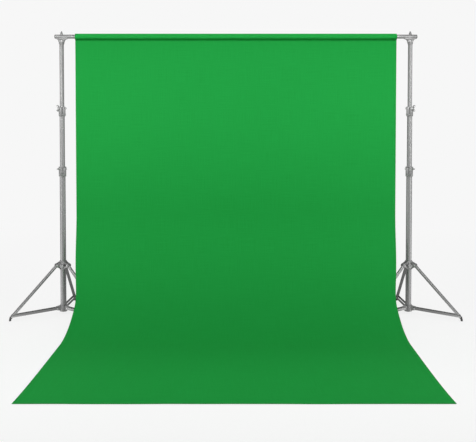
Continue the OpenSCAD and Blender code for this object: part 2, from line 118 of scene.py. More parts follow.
# a mesh object from points and quads; a closed one has its doubles merged and its normals recalculated
def makePiece(name, shape, material, closed=True, uv=None, sharpAngle=creaseAngle):
    points, faces = shape
    mesh = bpy.data.meshes.new(name)
    mesh.from_pydata(points.reshape(-1, 3).tolist(), [], faces.tolist())
    if uv is not None:
        layer = mesh.uv_layers.new(name="weave")
        layer.data.foreach_set("uv", uv.reshape(-1, 2)[faces.ravel()].astype(np.float32).ravel())
    if closed:
        work = bmesh.new()
        work.from_mesh(mesh)
        bmesh.ops.remove_doubles(work, verts=work.verts, dist=weldDistance)
        bmesh.ops.dissolve_degenerate(work, edges=work.edges, dist=sliverLength)
        bmesh.ops.recalc_face_normals(work, faces=work.faces)
        work.to_mesh(mesh)
        work.free()
    mesh.polygons.foreach_set("use_smooth", np.ones(len(mesh.polygons), bool))
    mesh.set_sharp_from_angle(angle=math.radians(sharpAngle))
    mesh.update()
    piece = bpy.data.objects.new(name, mesh)
    bpy.context.scene.collection.objects.link(piece)
    piece.data.materials.append(material)
    return piece


# 0 before the first value, 1 after the second, and a smooth step between them
def ease(value, low, high):
    share = np.clip((value - low) / (high - low), 0, 1)
    return share * share * (3 - 2 * share)


# a vector over its length
def unit(vector):
    vector = np.asarray(vector, float)
    return vector / np.linalg.norm(vector)


# two directions square to an axis and to each other
def sidesOf(axis):
    first = unit(np.cross(axis, (0, 0, 1) if abs(axis[2]) < nearUpright else (1, 0, 0)))
    return first, np.cross(axis, first)


# rings carried along a path: each ring is a superellipse with a half size along each of its two side
# directions, and a half size may change round the ring too. A loop joins its last ring to its first, and
# other ends are closed.
def carried(path, sideA, sideB, halfA, halfB, power=2.0, segments=24, loop=False):
    path = np.asarray(path, float)
    turn = np.linspace(0, 2 * np.pi, segments, endpoint=False)
    roundA = np.sign(np.cos(turn)) * np.abs(np.cos(turn)) ** (2 / power)
    roundB = np.sign(np.sin(turn)) * np.abs(np.sin(turn)) ** (2 / power)
    halves = (np.asarray(halfA), np.asarray(halfB))
    halfA, halfB = (half[:, None] if half.ndim == 1 else half for half in halves)
    sideA, sideB = (np.broadcast_to(side, path.shape)[:, None] for side in (sideA, sideB))
    points = path[:, None] + (halfA * roundA)[..., None] * sideA + (halfB * roundB)[..., None] * sideB
    if not loop:
        first, last = (np.broadcast_to(path[end], (1, segments, 3)) for end in (0, -1))
        points = np.concatenate([first, points, last])
    return points.reshape(-1, 3), gridFaces(len(points), segments, closeRows=loop, closeColumns=True)


# a profile of (radius, height) in mm turned about an axis, with heights counted from a place
def turned(profile, place, axis, segments=32, loop=False):
    profile, axis = np.asarray(profile, float) * mm, unit(axis)
    path = np.asarray(place, float) + profile[:, 1:] * axis
    return carried(path, *sidesOf(axis), profile[:, 0], profile[:, 0], segments=segments, loop=loop)


# a screw thread: the radius is a triangle wave of the height less the turn, one pitch for each turn, in mm
def threaded(radius, low, high, pitch, place, axis, segments=20):
    step = pitch / threadForm["steps"]
    height = np.arange(low, high + step / 2, step)
    turn = np.arange(segments) / segments
    wave = np.abs((height[:, None] / pitch - turn) % 1 * 2 - 1)
    rim = np.minimum(1, (high - height) / pitch)[:, None]
    around = (radius - threadForm["depth"] * pitch * (wave + threadForm["runOut"] * (1 - rim))) * mm
    axis = unit(axis)
    return carried(np.asarray(place, float) + height[:, None] * mm * axis, *sidesOf(axis), around, around,
                   segments=segments)


# a shape drawn in mm about its own axes, set at a place with those axes along three directions
def placed(shape, place, xAxis, yAxis, zAxis):
    points, faces = shape
    return np.asarray(place) + points * mm @ np.array([xAxis, yAxis, zAxis]), faces


# a finished piece: it moves with a body, takes a material and stands for the CAD nodes named last
def fitPiece(name, shapes, material, body, slot, *replacedNodes, sharpAngle=creaseAngle):
    piece = makePiece(name, joined(shapes), material, sharpAngle=sharpAngle)
    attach(piece, body)
    if replacedNodes:
        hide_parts(*replacedNodes)
    return piece


# Camera at the photograph's height and distance, looking a little down
cameraLook = dict(place=(0.0, -3.6287, 1.131), pitch=1.84, focalPixels=733.4, frameWidth=476,
                  sensorWidth=36, shift=(0.0044, -0.175), clipEnd=100)


# the lens is the focal length in pixels times the sensor's width over the frame's
def makeCamera(look):
    data = bpy.data.cameras.new("camera")
    data.sensor_width = look["sensorWidth"]
    data.lens = look["focalPixels"] * data.sensor_width / look["frameWidth"]
    data.shift_x, data.shift_y = look["shift"]
    data.clip_end = look["clipEnd"]
    camera = bpy.data.objects.new("camera", data)
    camera.location = look["place"]
    camera.rotation_euler = (math.radians(90 - look["pitch"]), 0, 0)
    bpy.context.scene.collection.objects.link(camera)
    bpy.context.scene.camera = camera


makeCamera(cameraLook)
print("camera set")

# Stage: a pale floor that fades into the same pale world, and soft lamps
stageLook = dict(paleColour="#f7f7f7", floorRadius=14.0, floorRings=12, floorSegments=96, floorDrop=1 * mm,
                 shadowShare=0.24, fadeFrom=1.6, fadeTo=4.2, floorLight=0.62, fillStrength=0.4,
                 flagFrom=0.0, flagTo=0.8, flagShare=0.5,
                 mastFoot=(0.977, 0.497, 0.0), cardFrom=0.45, cardTo=0.85, cardBack=0.1, cardFront=-0.2,
                 cardEnd=6.0, cardNear=1.5, cardLight=1.7)
lamps = {
    "dropLamp": dict(place=(0.0, -2.4, 3.0), target=(0.0, 0.5, 1.3), size=(3.6, 0.8), power=9.0, spread=42),
    "frontLamp": dict(place=(0.0, -3.9, 1.4), target=(0.0, 0.5, 1.0), size=(3.6, 0.8), power=4, spread=60),
    "floorLamp": dict(place=(0.0, -1.2, 3.4), target=(0.0, -0.6, 0.0), size=(3.6, 0.6), power=3.2, spread=34),
    "leftLamp": dict(place=(-2.1, -0.3, 1.05), target=(-0.98, 0.5, 0.85), size=(0.3, 1.3), power=1.3,
                     spread=80),
    "rightLamp": dict(place=(2.1, -0.3, 1.05), target=(0.98, 0.5, 0.85), size=(0.3, 1.3), power=1.3,
                     spread=80),
    "backLamp": dict(place=(0.0, 4.2, 2.6), target=(0.0, 0.5, 0.9), size=(3.0, 1.6), power=10, spread=140),
}


# a lamp's Z axis points from its target back to itself
def makeLamp(name, look):
    data = bpy.data.lights.new(name, "AREA")
    data.shape = "RECTANGLE"
    data.size, data.size_y = look["size"]
    data.energy = look["power"]
    data.spread = math.radians(look["spread"])
    lamp = bpy.data.objects.new(name, data)
    back = np.array(look["place"]) - np.array(look["target"])
    lamp.location = look["place"]
    flat = math.hypot(back[0], back[1])
    lamp.rotation_euler = (math.atan2(flat, back[2]), 0, math.atan2(back[0], -back[1]))
    lamp.visible_camera = False
    bpy.context.scene.collection.objects.link(lamp)


# one step of arithmetic: each term is a number or another node's output
def calculate(tree, operation, *terms):
    numbers = {i: term for i, term in enumerate(terms) if isinstance(term, float)}
    sources = {i: term for i, term in enumerate(terms) if not isinstance(term, float)}
    return addNode(tree, "ShaderNodeMath", {"operation": operation, **numbers}, sources).outputs[0]


# a value's smooth step between two bounds, from one result to another
def smoothStep(tree, value, start, end, low, high):
    return addNode(tree, "ShaderNodeMapRange",
                   {"interpolation_type": "SMOOTHSTEP", "From Min": start, "From Max": end,
                    "To Min": low, "To Max": high}, {"Value": value}).outputs[0]


# seen by the camera, in a reflection or through glass: 1, for all other light: 0
def seenRay(tree):
    path = addNode(tree, "ShaderNodeLightPath")
    seen = path.outputs["Is Camera Ray"]
    for name in ("Is Glossy Ray", "Is Transmission Ray"):
        seen = calculate(tree, "MAXIMUM", seen, path.outputs[name])
    return seen


# what a reflection sees of the room: full in front, and less towards the back and the ceiling by a smooth
# step of the direction's Y and Z parts, so round metal gets a darker rim as it does before dark studio flags
def flagged(tree, direction, light, look):
    along = addNode(tree, "ShaderNodeVectorMath", {"operation": "NORMALIZE"}, {0: direction}).outputs[0]
    parts = addNode(tree, "ShaderNodeSeparateXYZ", None, {0: along}).outputs
    away = calculate(tree, "MAXIMUM", parts["Y"], parts["Z"])
    loss = smoothStep(tree, away, look["flagFrom"], look["flagTo"], 0.0, look["flagShare"])
    glossy = addNode(tree, "ShaderNodeLightPath").outputs["Is Glossy Ray"]
    kept = calculate(tree, "SUBTRACT", 1.0, calculate(tree, "MULTIPLY", loss, glossy))
    return calculate(tree, "MULTIPLY", kept, light)


# a painted glow on the floor beside each stand, standing in for a white card, which only reflections see, so that
# round metal shows a painted highlight: it is full where the way from the mast's foot runs outwards and to the
# front, by a smooth step of each part of that direction, and fades with its length
def paintedCardGlow(tree, place, light, look):
    parts = addNode(tree, "ShaderNodeSeparateXYZ", None, {0: place}).outputs
    side = calculate(tree, "ABSOLUTE", parts["X"])
    flat = addNode(tree, "ShaderNodeCombineXYZ", None, {"X": side, "Y": parts["Y"]}).outputs[0]
    way = addNode(tree, "ShaderNodeVectorMath", {"operation": "SUBTRACT", 1: look["mastFoot"]},
                  {0: flat}).outputs[0]
    along = addNode(tree, "ShaderNodeVectorMath", {"operation": "NORMALIZE"}, {0: way}).outputs[0]
    parts = addNode(tree, "ShaderNodeSeparateXYZ", None, {0: along}).outputs
    length = addNode(tree, "ShaderNodeVectorMath", {"operation": "LENGTH"}, {0: way}).outputs["Value"]
    card = addNode(tree, "ShaderNodeLightPath").outputs["Is Glossy Ray"]
    for value, start, full in ((parts["X"], "cardFrom", "cardTo"), (parts["Y"], "cardBack", "cardFront"),
                               (length, "cardEnd", "cardNear")):
        card = calculate(tree, "MULTIPLY", card, smoothStep(tree, value, look[start], look[full], 0.0, 1.0))
    return calculate(tree, "MULTIPLY_ADD", card, look["cardLight"], light)


# the world and the floor: what is seen of both is the pale tone, and other rays get the world's fill light
def makeStage(look):
    pale = linear(look["paleColour"])
    world = bpy.data.worlds.new("paleRoom")
    bpy.context.scene.world = world
    world.use_nodes = True
    tree = world.node_tree
    tree.nodes.clear()
    fill = addNode(tree, "ShaderNodeBackground", {"Color": (1, 1, 1, 1), "Strength": look["fillStrength"]})
    full = addNode(tree, "ShaderNodeValue")
    full.outputs[0].default_value = pale[0]
    direction = addNode(tree, "ShaderNodeTexCoord").outputs["Generated"]
    room = addNode(tree, "ShaderNodeBackground", {"Color": (1, 1, 1, 1)},
                   {"Strength": flagged(tree, direction, full.outputs[0], look)})
    either = addNode(tree, "ShaderNodeMixShader", None,
                     {0: seenRay(tree), 1: fill.outputs[0], 2: room.outputs[0]})
    addNode(tree, "ShaderNodeOutputWorld", None, {0: either.outputs[0]})

    material = bpy.data.materials.new("paleStudioFloor")
    material.use_nodes = True
    tree = material.node_tree
    tree.nodes.clear()
    # the lit share carries the shadow near the object and fades to the plain pale tone further out
    place = addNode(tree, "ShaderNodeTexCoord").outputs["Object"]
    reach = addNode(tree, "ShaderNodeVectorMath", {"operation": "LENGTH"}, {0: place}).outputs["Value"]
    lit = smoothStep(tree, reach, look["fadeFrom"], look["fadeTo"], look["shadowShare"], 0.0)
    glow = calculate(tree, "MULTIPLY_ADD", lit, -look["floorLight"], pale[0])
    glow = calculate(tree, "MULTIPLY", glow, seenRay(tree))
    # the floor's glow gains a painted glowing patch beside each stand that only reflections see
    glow = paintedCardGlow(tree, place, flagged(tree, place, glow, look), look)
    grey = addNode(tree, "ShaderNodeCombineColor", None, {0: lit, 1: lit, 2: lit}).outputs[0]
    diffuse = addNode(tree, "ShaderNodeBsdfDiffuse", None, {"Color": grey})
    emission = addNode(tree, "ShaderNodeEmission", {"Color": (1, 1, 1, 1)}, {"Strength": glow})
    both = addNode(tree, "ShaderNodeAddShader", None, {0: diffuse.outputs[0], 1: emission.outputs[0]})
    addNode(tree, "ShaderNodeOutputMaterial", None, {0: both.outputs[0]})

    # the floor is a disc: rings of points about the middle, a hair below the feet
    grid = (look["floorRings"], look["floorSegments"])
    turn = np.linspace(0, 2 * np.pi, grid[1], endpoint=False)
    rings = look["floorRadius"] * np.linspace(0, 1, grid[0])[:, None]
    points = np.stack([rings * np.cos(turn), rings * np.sin(turn), np.full(grid, -look["floorDrop"])], -1)
    floor = makePiece("floor", (points, gridFaces(*grid, closeColumns=True)), material)


makeStage(stageLook)
for lampName, lampLook in lamps.items():
    makeLamp(lampName, lampLook)
print("stage and lamps set")


# the base colour goes from a look's dark colour to its light one with a pattern
def colourBy(tree, shader, look, pattern):
    colour = addNode(tree, "ShaderNodeMix", {"data_type": "RGBA", 6: linear(look["darkColour"]),
                                             7: linear(look["lightColour"])}, {0: pattern}).outputs[2]
    tree.links.new(colour, shader.inputs["Base Color"])


# the roughness goes from a look's first value to its second over a noise's spread
def roughenBy(tree, shader, look, noise):
    rough = addNode(tree, "ShaderNodeMapRange",
                    {"From Min": noiseSpread[0], "From Max": noiseSpread[1], "To Min": look["rough"][0],
                     "To Max": look["rough"][1]}, {"Value": noise}).outputs[0]
    tree.links.new(rough, shader.inputs["Roughness"])


# a pattern's height as a bump of a look's strength and depth in mm
def bumpBy(tree, shader, look, height):
    bump = addNode(tree, "ShaderNodeBump", {"Strength": look["bump"], "Distance": look["bumpDepth"] * mm},
                   {"Height": height})
    tree.links.new(bump.outputs[0], shader.inputs["Normal"])


# Drawn and satin anodised aluminium: a grey metal with soft highlights and faint lines along the tube
def anodisedAluminium(name, look, turn=(0, 0, 0)):
    material, tree, shader = newMaterial(name)
    place = addNode(tree, "ShaderNodeTexCoord").outputs["Object"]
    # the pattern's own Z axis lies along the tube
    along = addNode(tree, "ShaderNodeMapping", {"vector_type": "TEXTURE", "Rotation": turn},
                    {"Vector": place})
    across, length = 1 / (look["lineWidth"] * mm), 1 / (look["lineLength"] * mm)
    stretched = addNode(tree, "ShaderNodeMapping", {"Scale": (across, across, length)},
                        {"Vector": along.outputs[0]})
    lines = addNode(tree, "ShaderNodeTexNoise", {"Scale": 1.0, "Detail": 3.0, "Roughness": 0.6},
                    {"Vector": stretched.outputs[0]}).outputs["Fac"]
    smudges = addNode(tree, "ShaderNodeTexNoise", {"Scale": 1 / (look["smudgeSize"] * mm), "Detail": 4.0},
                      {"Vector": place}).outputs["Fac"]
    colourBy(tree, shader, look, lines)
    roughenBy(tree, shader, look, smudges)
    bumpBy(tree, shader, look, lines)
    shader.inputs["Metallic"].default_value = look["metallic"]
    shader.inputs["Specular Tint"].default_value = linear(look["edgeColour"])
    return material


# a cast, moulded or plated body: broad blotches vary its colour, and fine pebbles its roughness and its skin
def pebbled(name, look):
    material, tree, shader = newMaterial(name)
    place = addNode(tree, "ShaderNodeTexCoord").outputs["Object"]
    pebbles = addNode(tree, "ShaderNodeTexNoise", {"Scale": 1 / (look["pebbleSize"] * mm), "Detail": 2.0},
                      {"Vector": place}).outputs["Fac"]
    blotches = addNode(tree, "ShaderNodeTexNoise", {"Scale": 1 / (look["blotchSize"] * mm), "Detail": 3.0},
                       {"Vector": place}).outputs["Fac"]
    colourBy(tree, shader, look, blotches)
    roughenBy(tree, shader, look, pebbles)
    bumpBy(tree, shader, look, pebbles)
    shader.inputs["Metallic"].default_value = look["metallic"]
    return material


# real drawing lines are 0.2 mm wide, and these are wider so that they show
tubeLook = dict(darkColour="#8a8a8a", lightColour="#a0a0a0", edgeColour="#7f7f7f", rough=(0.21, 0.28),
                metallic=0.65, lineWidth=1.5, lineLength=160, smudgeSize=45, bump=0.12, bumpDepth=0.05)
# tumbled cast aluminium is darker and duller, satin cast aluminium a little lighter and smoother
castLook = dict(darkColour="#808080", lightColour="#9a9a9a", rough=(0.40, 0.52), pebbleSize=1.2,
                blotchSize=14, bump=0.35, bumpDepth=0.2, metallic=0.75)
knobLook = dict(castLook, darkColour="#8f8f8f", lightColour="#a6a6a6", rough=(0.34, 0.46), bump=0.15)
# zinc-plated steel is the brightest and smoothest of the metals
steelLook = dict(castLook, darkColour="#b6b6b6", lightColour="#cecece", rough=(0.22, 0.32), bump=0.05)
# moulded rubber is a matt dark grey, and moulded nylon a smoother black
rubberLook = dict(castLook, darkColour="#3c3c3c", lightColour="#4b4b4b", rough=(0.62, 0.78), pebbleSize=0.8,
                  bump=0.2, metallic=0.0)
nylonLook = dict(rubberLook, darkColour="#1f1f20", lightColour="#262627", rough=(0.4, 0.5), bump=0.08)

uprightTube = anodisedAluminium("satinAnodisedAluminiumUpright", tubeLook)
levelTube = anodisedAluminium("satinAnodisedAluminiumLevel", tubeLook, (0, math.pi / 2, 0))
castMetal = pebbled("tumbledCastAluminium", castLook)
knobMetal = pebbled("satinCastAluminium", knobLook)
zincSteel = pebbled("zincPlatedSteel", steelLook)
footRubber = pebbled("mouldedGreyRubber", rubberLook)
blackNylon = pebbled("mouldedBlackNylon", nylonLook)


# a direction as the turn that carries Z onto it: tilt about Y, then turn about Z
def turnOnto(direction):
    x, y, z = direction
    return (0, math.atan2(math.hypot(x, y), z), math.atan2(y, x))


# a CAD node takes one material
def paint(node, material):
    node.data.materials.clear()
    node.data.materials.append(material)


legTubes = {}
for legName in legNames:
    pivot = np.array(joints[f"right_{legName}_leg_hinge"]["pos_m"])
    foot = np.array(mounts[f"right_{legName}_foot_pad"]["pos_m"]) - pivot
    out = foot[:2] / np.hypot(*foot[:2])
    legTubes[legName] = (
        anodisedAluminium(f"satinAnodisedAluminium_{legName}Leg", tubeLook, turnOnto(-foot)),
        anodisedAluminium(f"satinRolledAluminium_{legName}Strap", tubeLook, turnOnto((out[0], out[1], 0))))
mirroredLeg = {"outer": "inner", "back": "back", "inner": "outer"}

for name, node in nodes.items():
    if name.startswith("crossbar_section"):
        paint(node, levelTube)
    elif name.endswith("_tube"):
        paint(node, uprightTube)
    elif name.endswith(("_leg", "_brace")):
        side, legName, kind = name.split("_")
        lies = legName if side == "right" else mirroredLeg[legName]
        paint(node, legTubes[lies][kind == "brace"])
    elif name.endswith("_foot") or name == "crossbar_end_caps":
        paint(node, footRubber)
    elif name.endswith(("bush", "bushes")):
        paint(node, blackNylon)
    elif name.endswith(("knob", "wing_nut")):
        paint(node, knobMetal)
    elif name.endswith(("pins", "nuts", "nut", "studs", "washers")):
        paint(node, zincSteel)
    else:
        paint(node, castMetal)
print("metals painted")

castingLook = dict(round=0.9 * mm, steps=2, profile=0.5, sharpFrom=28, flatWithin=0.5, merge=2e-6,
                   kinds=(("base_hub", "stand_bases"), ("lower_clamp", "stand_bases"),
                          ("upper_clamp", "{}_middle"), ("leg_collar", "{}_collar"),
                          ("head_yoke", "top_frame")))


# Castings: a copy of each solid with its doubles merged, its flat faces joined and its edges narrowly rounded
def roundedCasting(look, node, body):
    work = bmesh.new()
    work.from_mesh(nodes[node].data)
    bmesh.ops.remove_doubles(work, verts=work.verts, dist=look["merge"])
    bmesh.ops.dissolve_limit(work, angle_limit=math.radians(look["flatWithin"]), verts=work.verts,
                             edges=work.edges)
    sharp = [edge for edge in work.edges if edge.calc_face_angle(0) > math.radians(look["sharpFrom"])]
    bmesh.ops.bevel(work, geom=sharp, offset=look["round"], segments=look["steps"],
                    profile=look["profile"], affect="EDGES", clamp_overlap=True)
    bmesh.ops.recalc_face_normals(work, faces=work.faces)
    mesh = bpy.data.meshes.new(node + "_casting")
    work.to_mesh(mesh)
    work.free()
    mesh.polygons.foreach_set("use_smooth", np.ones(len(mesh.polygons), bool))
    mesh.set_sharp_from_angle(angle=math.radians(creaseAngle))
    piece = bpy.data.objects.new(node + "_casting", mesh)
    bpy.context.scene.collection.objects.link(piece)
    mesh.materials.append(castMetal)
    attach(piece, body)
    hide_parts(node)


for side in sides:
    for kind, body in castingLook["kinds"]:
        roundedCasting(castingLook, f"{side}_{kind}", body.format(side))
print("castings rounded")

# Wing knobs and wing nuts: a turned hub with two cast wings that swell into round lobes
wingLook = dict(span=40, lobe=7, waist=3.8, thickness=6, rootHeight=0.52, armRings=9, tipRings=10, power=2.4,
                segments=20, hubHeight=10, screw=6, clampScrew=38.3, knobRoot=3.0, nutRoot=5.2,
                hub=((0, 0), (6.9, 0), (7.5, 0.6), (7.4, 2.5), (6.8, 6.5), (6.4, 8.8), (5.7, 9.7), (4.2, 10)),
                nutBore=4.1, nutLip=0.4, nutStep=0.5, lowerTurn=80, upperTurn=-25, nutTurn=70, clampGap=16.3,
                nutGap=-2.4)
# Collar knobs: a fluted dial with a skirt under its flutes and a shallow dish in its face
dialLook = dict(radius=12, segments=128, crease=32, flutes=8, fluteRadius=4, fluteDepth=1.5, screw=6,
                screwLength=11.5, gap=0.3,
                heights=(0, 0.5, 2.6, 3.2, 3.6, 8.5, 10.4, 11.4, 11.9, 12, 11.6, 11.2, 11.2),
                insets=(0.5, 0, 0, 0.4, 0, 0, 0.3, 1.0, 2.0, 3.2, 4.2, 5.6, 8.5),
                fluted=(0, 0, 0, 0, 1, 1, 1, 1, 0.9, 0.7, 0.4, 0.1, 0))


# one wing: rings along the span that swell from a waist at the hub to a lobe, and round off at its tip
def wing(look, side, start):
    reach = look["span"] / 2 - look["lobe"]
    out = np.concatenate([np.linspace(start, reach, look["armRings"]),
                          reach + look["lobe"] * np.sin(np.linspace(0, np.pi / 2, look["tipRings"]))[1:]])
    swell = ease(out, start, reach)
    tip = np.sqrt(1 - np.clip((out - reach) / look["lobe"], 0, 1) ** 2)
    height = look["hubHeight"] * (look["rootHeight"] + (1 - look["rootHeight"]) * swell)
    path = np.stack([side * out, np.zeros_like(out), height], -1)
    width = (look["waist"] + (look["lobe"] - look["waist"]) * swell) * tip
    return carried(path, (0, 0, 1), (0, 1, 0), width, look["thickness"] / 2 * np.sqrt(tip),
                   power=look["power"], segments=look["segments"])


# a pair of wings, with their span along one direction and their hub along another
def wingPair(look, start, place, span, axis):
    axes = (span, np.cross(axis, span), axis)
    return [placed(wing(look, side, start), place, *axes) for side in (-1, 1)]


# a wing knob: two wings on a turned hub, with a screw out of its back
def knobShapes(look, screwLength, place, span, axis):
    return [*wingPair(look, look["knobRoot"], place, span, axis), turned(look["hub"], place, axis),
            threaded(look["screw"] / 2, 0, screwLength, screwPitch, place, -axis)]


# a wing nut: two wings on a hub that is turned round an open bore
def nutShapes(look, place, span, axis):
    bore, top = look["nutBore"], look["hubHeight"]
    profile = [(bore, 0), *look["hub"][1:-1], (bore + look["nutLip"], top), (bore, top - look["nutStep"])]
    return [*wingPair(look, look["nutRoot"], place, span, axis), turned(profile, place, axis, loop=True)]


# a dial: rings of a radius less an inset, cut by circles that stand outside it. A ray at a turn from a
# circle's middle meets it at centre times cosine less the root of radius squared less (centre times sine)
# squared.
def dialShapes(look, place, axis):
    turn = np.linspace(0, 2 * np.pi, look["segments"], endpoint=False)
    step = 2 * np.pi / look["flutes"]
    off = (turn + step / 2) % step - step / 2
    centre = look["radius"] + look["fluteRadius"] - look["fluteDepth"]
    chord = np.maximum(look["fluteRadius"] ** 2 - (centre * np.sin(off)) ** 2, 0)
    depth = np.where(chord > 0, np.maximum(look["radius"] - centre * np.cos(off) + np.sqrt(chord), 0), 0)
    inset, fluted = np.array(look["insets"])[:, None], np.array(look["fluted"])[:, None]
    around = (look["radius"] - inset - fluted * depth) * mm
    path = np.asarray(place) + np.array(look["heights"])[:, None] * mm * axis
    return [carried(path, *sidesOf(axis), around, around, segments=look["segments"]),
            threaded(look["screw"] / 2, 0, look["screwLength"], screwPitch, place, -axis)]


for side, sign in (("left", -1), ("right", 1)):
    for kind, knobTurn in (("lower", wingLook["lowerTurn"]), ("upper", wingLook["upperTurn"])):
        joint = joints[f"{side}_{kind}_clamp_knob_turn"]
        axis, turn = unit(joint["axis"]), math.radians(knobTurn)
        span = math.sin(turn) * sign * np.cross(up, axis) - math.cos(turn) * up
        node = f"{side}_{kind}_clamp_knob"
        place = joint["pos_m"] + axis * wingLook["clampGap"] * mm
        fitPiece(node + "_cast", knobShapes(wingLook, wingLook["clampScrew"], place, span, axis),
                 knobMetal, node, "knob", node)
    joint = joints[f"{side}_collar_knob_turn"]
    axis, node = unit(joint["axis"]), f"{side}_collar_knob"
    fitPiece(node + "_dial", dialShapes(dialLook, joint["pos_m"] + axis * dialLook["gap"] * mm, axis),
             knobMetal, node, "knob", node, sharpAngle=dialLook["crease"])
    joint = joints[f"{side}_wing_nut_turn"]
    axis, turn = unit(joint["axis"]), math.radians(wingLook["nutTurn"])
    span = np.array((sign * math.cos(turn), math.sin(turn), 0))
    node = f"{side}_wing_nut"
    place = joint["pos_m"] + axis * wingLook["nutGap"] * mm
    fitPiece(node + "_cast", nutShapes(wingLook, place, span, axis), knobMetal, node, "knob", node)
print("wing knobs and wing nuts made")

# Fasteners: hexagon nuts, clamp rivets, domed pivot pins and studs
fastenerLook = dict(nutCorner=6, nutHeight=5, nutChamfer=0.9, nutCone=1.8, nutRings=12, nutSegments=48,
                    nutGap=16, rivetDrop=33, rivetGrip=32, rivetRadius=3, rivetHead=4.8, rivetDome=2.2,
                    pinRadius=3, pinHead=5.5, pinDome=2, collarGrip=26.4, hubGrip=23.4, studRadius=4,
                    studHead=5.5, studHeadHeight=2, studChamfer=(1, 0.6), studFoot=1545, studNut=1577.6,
                    studTop=1590.6)


# a hexagon nut: the flats' radius is the corner's times cos 30 over the cosine of the turn from the flat's
# middle, and a cone at each face takes the corners off
def hexNut(look, place, axis):
    height = np.linspace(0, look["nutHeight"], look["nutRings"])
    turn = np.linspace(0, 2 * np.pi, look["nutSegments"], endpoint=False)
    flats = look["nutCorner"] * math.cos(math.pi / 6) / np.cos(turn % (math.pi / 3) - math.pi / 6)
    depth = np.minimum(height, look["nutHeight"] - height)
    cone = look["nutCorner"] - look["nutChamfer"] + look["nutCone"] * depth
    around = np.minimum(flats, cone[:, None]) * mm
    return carried(np.asarray(place) + height[:, None] * mm * axis, -up, np.cross(axis, -up), around, around,
                   segments=look["nutSegments"])


# a dome's (radius, height) points from its crown to its edge: a quarter of an ellipse on a low rim
def domeProfile(head, dome):
    bend, rim = np.linspace(0, np.pi / 2, domeForm["rings"]), domeForm["rim"]
    return np.stack([head * np.sin(bend), dome * (rim + (1 - rim) * np.cos(bend))], -1)


# a pin with a domed head at each end of a straight shank
def domedPin(radius, head, dome, grip, place, axis):
    upper = np.concatenate([domeProfile(head, dome) + (0, grip / 2), [(head, grip / 2), (radius, grip / 2)]])
    return turned(np.concatenate([upper, upper[::-1] * (1, -1)]), place, axis,
                  segments=domeForm["segments"])


# the pivot pins of a stand's three legs or braces
def pinSet(look, grip, jointName, side):
    hinges = [joints[f"{side}_{legName}_{jointName}"] for legName in legNames]
    return [domedPin(look["pinRadius"], look["pinHead"], look["pinDome"], grip, hinge["pos_m"], hinge["axis"])
            for hinge in hinges]


# a stud: a chamfered head, a plain shank and a thread above the bar, with heights from the floor
def studShapes(look, mast):
    foot, radius, head = look["studFoot"], look["studRadius"], look["studHead"]
    cut, rise = look["studChamfer"]
    neck = foot + look["studHeadHeight"]
    profile = [(0, foot), (head - cut, foot), (head, foot + rise), (head, neck), (radius, neck),
               (radius, look["studNut"])]
    return [turned(profile, mast, up),
            threaded(radius, look["studNut"], look["studTop"], screwPitch, mast, up)]


lowerNuts, hubPins, studs = [], [], []
look = fastenerLook
for side in sides:
    for kind, body in (("lower", "stand_bases"), ("upper", f"{side}_middle")):
        joint = joints[f"{side}_{kind}_clamp_knob_turn"]
        axis, screw = unit(joint["axis"]), np.array(joint["pos_m"])
        nut = [hexNut(look, screw - axis * look["nutGap"] * mm, -axis)]
        if kind == "upper":
            fitPiece(f"{side}_upper_clamp_hex_nut", nut, zincSteel, body, "steel", f"{side}_upper_clamp_nut")
        else:
            lowerNuts += nut
        rivet = domedPin(look["rivetRadius"], look["rivetHead"], look["rivetDome"], look["rivetGrip"],
                         screw - up * look["rivetDrop"] * mm, axis)
        fitPiece(f"{side}_{kind}_clamp_rivet", [rivet], zincSteel, body, "steel")
    fitPiece(f"{side}_collar_pivot_pins", pinSet(look, look["collarGrip"], "leg_hinge", side), zincSteel,
             f"{side}_collar", "steel", f"{side}_collar_pins")
    hubPins += pinSet(look, look["hubGrip"], "brace_hinge", side)
    studs += studShapes(look, np.array(joints[f"{side}_wing_nut_turn"]["pos_m"]) * (1, 1, 0))
fitPiece("lower_clamp_hex_nuts", lowerNuts, zincSteel, "stand_bases", "steel", "lower_clamp_nuts")
fitPiece("hub_pivot_pins", hubPins, zincSteel, "stand_bases", "steel", "hub_pins")
fitPiece("threaded_head_studs", studs, zincSteel, "top_frame", "steel", "head_studs")
print("fasteners made")

braceLook = dict(run=247.202, fall=10, width=14, thickness=2.5, inner=9, endRings=9, midRings=22, power=7,
                 segments=24, rivetHead=5.5, rivetDome=2, rivetSink=0.2)


# Braces: a pair of flat straps with rounded edges and ends, and a domed rivet through each outer end
def braceShapes(look, side, legName):
    joint = joints[f"{side}_{legName}_brace_hinge"]
    hub, across = np.array(joint["pos_m"]), unit(joint["axis"])
    out = unit(np.array(mounts[f"{side}_{legName}_foot_pad"]["pos_m"]) * (1, 1, 0) - hub * (1, 1, 0))
    fall = math.asin(look["fall"] / look["run"])
    along = out * math.cos(fall) - up * math.sin(fall)
    half, run = look["width"] / 2, look["run"]
    bend = np.linspace(0, np.pi / 2, look["endRings"])
    middle = np.linspace(0, run, look["midRings"] + 2)[1:-1]
    place = np.concatenate([-half * np.cos(bend), middle, run + half * np.sin(bend)])
    width = np.concatenate([half * np.sin(bend), np.full(middle.size, half), half * np.cos(bend)])
    depth = np.full(place.size, look["thickness"] / 2)
    shapes = []
    for face in (-1, 1):
        strap = hub + face * (look["inner"] + look["thickness"] / 2) * mm * across
        shapes.append(carried(strap + place[:, None] * mm * along, np.cross(across, along), across,
                              width * mm, depth * mm, power=look["power"], segments=look["segments"]))
        outer = hub + run * mm * along + face * (look["inner"] + look["thickness"]) * mm * across
        cap = domeProfile(look["rivetHead"], look["rivetDome"])[::-1]
        rivet = np.concatenate([[(look["rivetHead"], -look["rivetSink"])], cap])
        shapes.append(turned(rivet, outer, face * across, segments=domeForm["segments"]))
    return shapes


